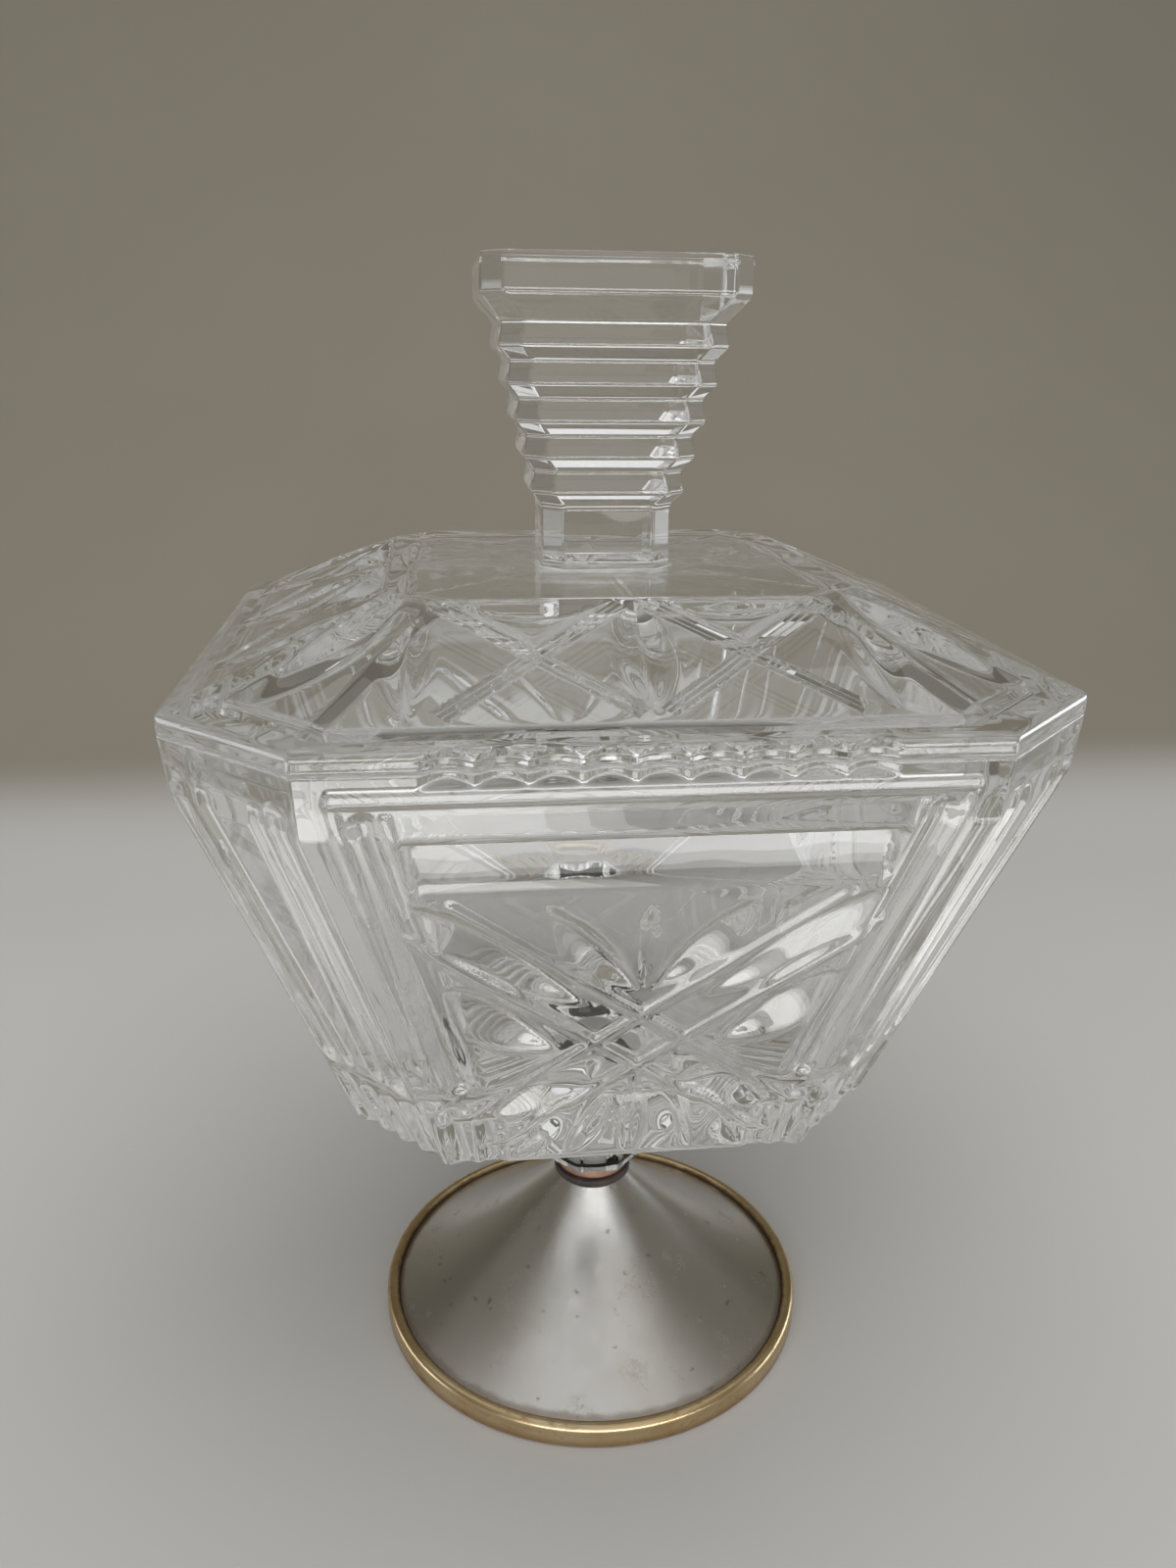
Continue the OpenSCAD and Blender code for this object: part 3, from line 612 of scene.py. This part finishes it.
def roof_pattern():
    end = BAY_W + END_LEAF_W / 2
    return [roof_leaf(0.0, ROOF_LEN, MID_LEAF_W), roof_leaf(end, ROOF_LEN, END_LEAF_W), roof_dish], []


def corner_roof_pattern():
    return [roof_leaf(0.0, CORNER_ROOF_LEN, CORNER_LEAF_W)], []


WALL_PATTERN, CORNER_PATTERN = wall_pattern(), corner_pattern()
ROOF_PATTERN, CORNER_ROOF_PATTERN = roof_pattern(), corner_roof_pattern()


def bowl_relief(flat, x, z):
    """Push outwards and lift of a place on the bowl's outside."""
    lean = WALL_LEAN if flat else CORNER_LEAN
    v = (z - BASE_Z) / math.cos(lean)
    if z > SHOULDER_Z:
        lean = SHOULDER_LEAN
        v = WALL_LEN + (z - SHOULDER_Z) / math.cos(lean)
    fade = min(max(1 + v, 0.0), 1.0)
    height = surface(WALL_PATTERN if flat else CORNER_PATTERN, x, max(v, 0.0)) * fade
    if flat:
        height -= arch_depth(x, z)
    return height * math.cos(lean), -height * math.sin(lean)


def lid_relief(flat, x, z):
    """Push outwards and lift of a place on the lid's outside."""
    if z < ROOF_Z:
        return (-arch_depth(x, z) if flat else 0.0), 0.0
    lean = ROOF_LEAN if flat else CORNER_ROOF_LEAN
    height = surface(ROOF_PATTERN if flat else CORNER_ROOF_PATTERN, x, (z - ROOF_Z) / math.sin(lean))
    return height * math.sin(lean), height * math.cos(lean)


# Fine grooves of the roof crosses, cut after the relief: x across the slope, y up it, z outwards

GROOVE_HALF, GROOVE_DEPTH, GROOVE_OVER, GROOVE_PITCH = 0.45, 0.22, 0.7, 0.95


def groove(start, end, shift):
    """Rings of a groove with a sharp bottom, moved sideways by a shift."""
    a, b = Vector(start), Vector(end)
    run = (b - a).normalized()
    side = Vector((-run.y, run.x))
    top = GROOVE_HALF * (GROOVE_DEPTH + GROOVE_OVER) / GROOVE_DEPTH
    rings = []
    for p in (a + side * shift, b + side * shift):
        section = ((p - side * top, GROOVE_OVER), (p, -GROOVE_DEPTH), (p + side * top, GROOVE_OVER))
        rings.append([(q.x, q.y, z) for q, z in section])
    return rings


def both(rings):
    """The rings and their mirror image."""
    return [rings, [[(-x, y, z) for x, y, z in ring] for ring in rings]]


def on_roof(turn):
    """Places a plane on a slope of the roof."""
    foot = Matrix.Translation((0, MARGIN_W - RIM_HALF, ROOF_Z))
    return Matrix.Rotation(math.radians(turn), 4, "Z") @ foot @ Matrix.Rotation(ROOF_LEAN, 4, "X")


def carve(piece, cuts):
    """Takes each cut, repeated on the roof's four slopes, out of the piece."""
    tools = []
    for number, shapes in enumerate(cuts):
        points, faces = [], []
        for turn in QUARTERS:
            matrix = on_roof(turn)
            for rings in shapes:
                faces += skin(rings, len(points))
                points += [tuple(matrix @ Vector(p)) for ring in rings for p in ring]
        tool = make_piece(f"{piece.name}_cut_{number}", points, faces)
        cut = piece.modifiers.new(tool.name, "BOOLEAN")
        cut.operation = "DIFFERENCE"
        cut.solver = "MANIFOLD"
        cut.object = tool
        tools.append(tool)
    shaped = piece.evaluated_get(bpy.context.evaluated_depsgraph_get())
    carved = bpy.data.meshes.new_from_object(shaped)
    piece.modifiers.clear()
    plain = piece.data
    piece.data = carved
    bpy.data.meshes.remove(plain)
    for tool in tools:
        mesh = tool.data
        bpy.data.objects.remove(tool)
        bpy.data.meshes.remove(mesh)


def roof_crosses():
    """Three fine grooves along each arm of the crosses."""
    low, high, near, far = BAY_GAP, ROOF_LEN - BAY_GAP, BAY_GAP, BAY_W - BAY_GAP
    arms = (((near, low), (far, high)), ((far, low), (near, high)))
    shifts = (-GROOVE_PITCH, 0.0, GROOVE_PITCH)
    return [both(groove(a, b, shift)) for a, b in arms for shift in shifts]


def lean_half(z, low, high):
    """Half-width on the wall between the base edge and the shoulder."""
    return low + (high - low) * (z - BASE_Z) / (SHOULDER_Z - BASE_Z)


def glass_bowl():
    """The bowl, from its socket over the outside and the rim to the floor inside."""
    inner_drop = WALL_T / math.cos(WALL_LEAN)
    floor_half = lean_half(FLOOR_Z, BASE_HALF, RIM_HALF - SHOULDER_IN) - inner_drop
    floor_corner = lean_half(FLOOR_Z, BASE_CORNER, RIM_CORNER - SHOULDER_IN) - inner_drop
    levels = [
        (BOSS_HALF, BOSS_HALF, BOSS_Z, 0, PLAIN),
        (BOSS_HALF + BOSS_SPREAD, BOSS_HALF + BOSS_SPREAD, TAPER_Z, 1.5, PLAIN),
        (BASE_HALF, BASE_CORNER, BASE_Z, 1.2, FINE),
        (RIM_HALF - SHOULDER_IN, RIM_CORNER - SHOULDER_IN, SHOULDER_Z, 0.8, FINER),
        (RIM_HALF, RIM_CORNER, RIM_Z, 0.5, PLAIN),
        (RIM_HALF - WALL_T, RIM_CORNER - WALL_T, RIM_Z, 0.6, PLAIN),
        (RIM_HALF - WALL_T, RIM_CORNER - WALL_T, MOUTH_Z, 0.8, PLAIN),
        (floor_half, floor_corner, FLOOR_Z, 5.0, PLAIN),
        (floor_half * CAP_SHARE, floor_corner * CAP_SHARE, FLOOR_Z, 0, PLAIN),
    ]
    rings = [round_ring(SOCKET_R, SOCKET_TOP), round_ring(SOCKET_R, BOSS_Z)]
    rings += glass_rings(levels, bowl_relief)
    return make_piece("bowl_glass", [p for ring in rings for p in ring], skin(rings))


def tier_levels():
    """Levels of the stepped finial, from its first tier to its top slab."""
    levels = []
    for i in range(TIERS):
        half, foot = FIRST_TIER_HALF + i * TIER_GROW, TIER_Z + i * TIER_H
        levels += [(half, foot + TIER_SLOPE_H, TIER_SOFT), (half - TIER_DRAW, foot + TIER_H, TIER_SOFT)]
    slab = TIER_Z + TIERS * TIER_H + SLAB_SLOPE_H
    levels += [(SLAB_HALF, slab, SLAB_SOFT), (SLAB_HALF, TOP_Z, TOP_SOFT), (SLAB_HALF - SLAB_CAP, TOP_Z, 0)]
    return [(half, half * DIAGONAL - FINIAL_CANT, z, soft, PLAIN) for half, z, soft in levels]


def glass_lid():
    """The lid, from the ceiling inside over the lip, the rim and the roof to the finial's top."""
    lip_half, lip_corner = RIM_HALF - WALL_T - LID_GAP, RIM_CORNER - WALL_T - LID_GAP
    inner_half, inner_corner = lip_half - LID_LIP_T, lip_corner - LID_LIP_T
    ceiling = CROWN_Z - CROWN_T
    draw = CROWN_T * (RIM_HALF - MARGIN_W - CROWN_HALF) / (CROWN_Z - ROOF_Z) * DRAW_SHARE
    neck_corner = FINIAL_NECK_HALF * DIAGONAL - FINIAL_CANT
    rest = RIM_Z + SEAM
    levels = [
        ((CROWN_HALF - draw) * CAP_SHARE, (CROWN_CORNER - draw) * CAP_SHARE, ceiling, 0, PLAIN),
        (CROWN_HALF - draw, CROWN_CORNER - draw, ceiling, 3.0, PLAIN),
        (inner_half, inner_corner, RIM_Z, 1.2, PLAIN),
        (inner_half, inner_corner, LIP_Z, 0.6, PLAIN),
        (lip_half, lip_corner, LIP_Z, 0.6, PLAIN),
        (lip_half, lip_corner, rest, 0.4, PLAIN),
        (RIM_HALF, RIM_CORNER, rest, 0.4, FINER),
        (RIM_HALF, RIM_CORNER, MARGIN_Z, 1.1, FINE),
        (RIM_HALF - MARGIN_W, RIM_CORNER - MARGIN_W, ROOF_Z, 1.0, FINE),
        (CROWN_HALF, CROWN_CORNER, CROWN_Z, 0.7, PLAIN),
        (FINIAL_NECK_HALF, neck_corner, CROWN_Z, 1.2, PLAIN),
        (FINIAL_NECK_HALF, neck_corner, TIER_Z, 0.8, PLAIN),
    ] + tier_levels()
    rings = glass_rings(levels, lid_relief)
    lid = make_piece("lid_glass", [p for ring in rings for p in ring], skin(rings))
    carve(lid, roof_crosses())
    return lid


# Turned pieces

TURNS, SIDE_STEPS, SOFT_STEPS, BEAD_STEPS = 128, 28, 5, 16


def turned(name, outline):
    """A closed outline of (radius, height) turned about the upright axis."""
    points, faces = [], []
    count = len(outline)
    for j in range(TURNS):
        t = math.tau * j / TURNS
        points += [(r * math.cos(t), r * math.sin(t), z) for r, z in outline]
    for j in range(TURNS):
        here, there = j * count, (j + 1) % TURNS * count
        for i in range(count):
            k = (i + 1) % count
            faces.append((here + i, there + i, there + k, here + k))
    piece = make_piece(name, points, faces)
    shade_smooth(piece, TURNED_ANGLE)
    return piece


def curve_between(a, b, dip):
    """Points from a to b on a side that dips below the straight line."""
    a, b = Vector(a), Vector(b)
    across = Vector((b.y - a.y, a.x - b.x)).normalized()
    shares = [i / SIDE_STEPS for i in range(SIDE_STEPS + 1)]
    return [tuple(a + (b - a) * s - across * (4 * dip * s * (1 - s))) for s in shares]


def rounded_outline(corners):
    """A closed outline of (radius, height, rounding) corners."""
    out = []
    count = len(corners)
    for i, (r, z, soft) in enumerate(corners):
        here = Vector((r, z))
        if soft == 0:
            out.append((r, z))
            continue
        before, after = Vector(corners[i - 1][:2]), Vector(corners[(i + 1) % count][:2])
        start = here + (before - here).normalized() * soft
        end = here + (after - here).normalized() * soft
        for j in range(SOFT_STEPS + 1):
            s = j / SOFT_STEPS
            out.append(tuple(start * (1 - s) ** 2 + here * (2 * s * (1 - s)) + end * s * s))
    return out


def foot_cone():
    run = (CONE_R - NECK_R) / (NECK_Z - EDGE_Z)
    inner_edge = (CONE_R - SHEET_T, EDGE_Z + SHEET_T / run - SHEET_T * math.sqrt(1 + 1 / run ** 2))
    inner_neck = (NECK_R + NECK_T * run - SHEET_T * math.sqrt(1 + run ** 2), NECK_Z - NECK_T)
    outside = curve_between((CONE_R, EDGE_Z), (NECK_R, NECK_Z), CONE_DIP)
    inside = curve_between(inner_edge, inner_neck, CONE_DIP)[::-1]
    outline = [(CONE_R - SHEET_T, LIP_H), (CONE_R, LIP_H)] + outside
    outline += [(RING_R, NECK_Z), (RING_R, NECK_Z - NECK_T)] + inside
    return turned("foot_cone_plate", outline)


def foot_rim():
    crown = BEAD_W / 2
    edge = CONE_R + BEAD_W
    arc = [math.pi * i / BEAD_STEPS for i in range(BEAD_STEPS + 1)]
    bead = [(CONE_R + crown + crown * math.cos(t), BEAD_H - crown + crown * math.sin(t)) for t in arc]
    outline = [(CONE_R - LIP_W, 0.0), (edge - BEAD_CHAMFER, 0.0), (edge, BEAD_CHAMFER)]
    outline += bead + [(CONE_R, LIP_H), (CONE_R - LIP_W, LIP_H)]
    return turned("foot_rim_bead", outline)


def stud_ring(name, radius, low, high, soft):
    """A ring round the stud, its outer edges rounded."""
    corners = [(RING_R, low, 0), (radius, low, soft), (radius, high, soft), (RING_R, high, 0)]
    return turned(name, rounded_outline(corners))


# Studio, in metres

MIDDLE = (0.0, 0.0, 0.09)
PAPER_HALF, PAPER_NEAR, PAPER_FAR, PAPER_TALL = 1.6, -1.4, 0.20, 1.6
PAPER_CURVE, PAPER_STEPS = 0.60, 48
DARK_FROM, DARK_TO = 0.30, 0.75
FLAG_Y = -0.25
FLAG_OUTLINE = ((-0.26, 0.29), (0.03, 0.29), (0.01, 0.36), (-0.02, 0.415), (-0.11, 0.415), (-0.22, 0.36))
CARD_SHARES, SHEET_GAP = (1.0, 0.86, 0.72), 0.002
WHITE, COOL = (1.0, 1.0, 1.0), (0.86, 0.92, 1.0)
UP, AHEAD, TO_RIGHT, TO_LEFT = (0.0, 0.0, 1.0), (0.0, 1.0, 0.0), (1.0, 0.0, 0.0), (-1.0, 0.0, 0.0)

# Lamps for the paper: name, place, size, power
LAMPS = (
    ("softbox_left", (-0.50, -0.70, 0.50), (0.50, 0.70), 2.2),
    ("softbox_top", (0.05, -0.12, 0.85), (0.90, 0.80), 5.5),
)
# Cards for the glass and metal: name, place, facing, size, radiance, colour
CARDS = (
    ("card_bar", (0.08, -0.47, 0.012), UP, (0.36, 0.16), 7.8, WHITE),
    ("card_leaf", (-0.06, -0.23, 0.012), UP, (0.17, 0.15), 6.8, WHITE),
    ("card_upper_leaf", (0.125, -0.155, 0.012), UP, (0.05, 0.05), 5.0, WHITE),
    ("card_corner_left", (-0.135, -0.09, 0.012), UP, (0.12, 0.16), 1.8, WHITE),
    ("card_corner_right", (0.145, -0.07, 0.012), UP, (0.11, 0.12), 3.4, WHITE),
    ("card_side_left", (-0.60, -0.39, 0.012), UP, (0.60, 0.62), 5.0, WHITE),
    ("card_side_right", (0.60, -0.39, 0.012), UP, (0.60, 0.62), 5.0, WHITE),
    ("card_wall", (0.05, -0.90, 0.11), AHEAD, (1.60, 0.16), 6.8, WHITE),
    ("card_left", (-0.90, 0.15, 0.10), TO_RIGHT, (0.80, 0.18), 3.4, COOL),
    ("card_right", (0.90, 0.15, 0.10), TO_LEFT, (0.80, 0.18), 5.0, COOL),
)


def camera():
    yaw, pitch, roll = (math.radians(a) for a in (CAMERA_YAW, CAMERA_PITCH, CAMERA_ROLL))
    ahead = Vector((math.sin(yaw) * math.cos(pitch), math.cos(yaw) * math.cos(pitch), -math.sin(pitch)))
    level = Vector((math.cos(yaw), -math.sin(yaw), 0))
    overhead = level.cross(ahead)
    right = level * math.cos(roll) + overhead * math.sin(roll)
    up = overhead * math.cos(roll) - level * math.sin(roll)
    lens_data = bpy.data.cameras.new("camera")
    lens_data.sensor_width = SENSOR_W
    lens_data.lens = FOCAL_PIXELS / IMAGE_TALL * SENSOR_W
    lens_data.clip_start = NEAREST
    holder = bpy.data.objects.new("camera", lens_data)
    turn = Matrix((right, up, -ahead)).transposed().to_4x4()
    holder.matrix_world = Matrix.Translation(Vector(CAMERA_AT) * MM) @ turn
    bpy.context.scene.collection.objects.link(holder)
    bpy.context.scene.camera = holder


def sweep():
    """Paper sweep: a floor that curves up into a backdrop."""
    side = [(PAPER_NEAR, 0.0), (PAPER_FAR, 0.0)]
    for i in range(1, PAPER_STEPS + 1):
        t = math.pi / 2 * i / PAPER_STEPS
        side.append((PAPER_FAR + PAPER_CURVE * math.sin(t), PAPER_CURVE - PAPER_CURVE * math.cos(t)))
    side.append((PAPER_FAR + PAPER_CURVE, PAPER_TALL))
    points = [(x, y, z) for y, z in side for x in (-PAPER_HALF, PAPER_HALF)]
    faces = [(2 * i, 2 * i + 1, 2 * i + 3, 2 * i + 2) for i in range(len(side) - 1)]
    mesh = bpy.data.meshes.new("paper_sweep")
    mesh.from_pydata(points, [], faces)
    paper = bpy.data.objects.new("paper_sweep", mesh)
    bpy.context.scene.collection.objects.link(paper)
    for polygon in mesh.polygons:
        polygon.use_smooth = True
    mesh.materials.append(studio_paper())


def softbox(name, at, look, size, power, colour=WHITE, mirrored=False):
    """A soft rectangular lamp that only lights the paper, or a sheet that only shows in reflections."""
    data = bpy.data.lights.new(name, "AREA")
    data.shape = "RECTANGLE"
    data.size, data.size_y = size
    data.energy = power
    data.color = colour
    lamp = bpy.data.objects.new(name, data)
    lamp.location = at
    lamp.visible_camera = False
    lamp.visible_diffuse = not mirrored
    lamp.visible_glossy = mirrored
    lamp.visible_transmission = False
    lamp.rotation_euler = (Vector(look) - Vector(at)).to_track_quat("-Z", "Y").to_euler()
    bpy.context.scene.collection.objects.link(lamp)


def card(name, at, facing, size, radiance, colour):
    """A reflector that fades towards its edges, from sheets laid over each other."""
    facing = Vector(facing)
    for number, share in enumerate(CARD_SHARES):
        wide, tall = (side * share for side in size)
        place = Vector(at) + facing * (SHEET_GAP * number)
        power = radiance / len(CARD_SHARES) * math.pi * wide * tall
        softbox(f"{name}_{number}", place, place + facing, (wide, tall), power, colour, mirrored=True)


def flag():
    """A dark board over the camera that only the metal mirrors."""
    points = [(x, FLAG_Y, z) for x, z in FLAG_OUTLINE]
    mesh = bpy.data.meshes.new("flag")
    mesh.from_pydata(points, [], [tuple(range(len(points)))])
    board = bpy.data.objects.new("flag", mesh)
    bpy.context.scene.collection.objects.link(board)
    mesh.materials.append(flag_cloth())
    board.visible_camera = False
    board.visible_diffuse = False
    board.visible_transmission = False
    board.visible_shadow = False


def studio_air():
    """Light from all round, weaker from the two sides."""
    f = Finish("studio_air", "worlds")
    across = f.node("SeparateXYZ", {}, {0: f.node("TexCoord", output="Generated")})
    side = f.node("Math", {"operation": "ABSOLUTE"}, {0: across})
    colour = f.mix(f.ramp(side, DARK_FROM, DARK_TO), rgb(0.81, 0.805, 0.80), rgb(0.20, 0.187, 0.157))
    air = f.node("Background", {}, {"Color": colour, "Strength": 1.0})
    f.node("OutputWorld", {}, {"Surface": air})
    return f.owner


def studio():
    sweep()
    for name, at, size, power in LAMPS:
        softbox(name, at, MIDDLE, size, power)
    for setting in CARDS:
        card(*setting)
    flag()
    bpy.context.scene.world = studio_air()


# Assembly

def dress(piece, body, slot, material, *nodes):
    """Finishes a piece and puts it on its body in place of its nodes."""
    piece.data.materials.clear()
    piece.data.materials.append(material)
    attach(piece, body)
    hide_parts(*nodes)


def refinish(node, material):
    """Gives a node that keeps its own mesh its finish."""
    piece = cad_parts[node]
    piece.data.materials.clear()
    piece.data.materials.append(material)


def build():
    glass = clear_glass()
    gasket = dark_gasket()
    steel = clamp_steel()
    for piece, body, node in ((glass_bowl(), "base", "bowl"), (glass_lid(), "lid", "lid")):
        shade_smooth(piece, GLASS_ANGLE)
        level = piece.modifiers.new("even_shading", "WEIGHTED_NORMAL")
        level.keep_sharp = True
        dress(piece, body, "clear_glass", glass, node)
    dress(foot_cone(), "base", "silver_plate", silver_plate(), "foot_cone")
    dress(foot_rim(), "base", "brass_rim", brass_rim(), "foot_rim")
    dress(stud_ring("neck_gasket_ring", *NECK_GASKET), "base", "dark_gasket", gasket, "neck_gasket")
    dress(stud_ring("collar_ring", *COLLAR), "base", "copper_collar", copper_collar(), "collar")
    dress(stud_ring("top_gasket_ring", *TOP_GASKET), "base", "dark_gasket", gasket, "top_gasket")
    for node in ("clamp_stud", "clamp_washer", "clamp_nut"):
        refinish(node, steel)
    refinish("socket_cement", socket_cement())


BOUNCES = 64

bpy.context.scene.view_settings.view_transform = "Standard"
light_paths = bpy.context.scene.cycles
light_paths.max_bounces = BOUNCES
light_paths.glossy_bounces = BOUNCES
light_paths.transmission_bounces = BOUNCES
build()
studio()
camera()
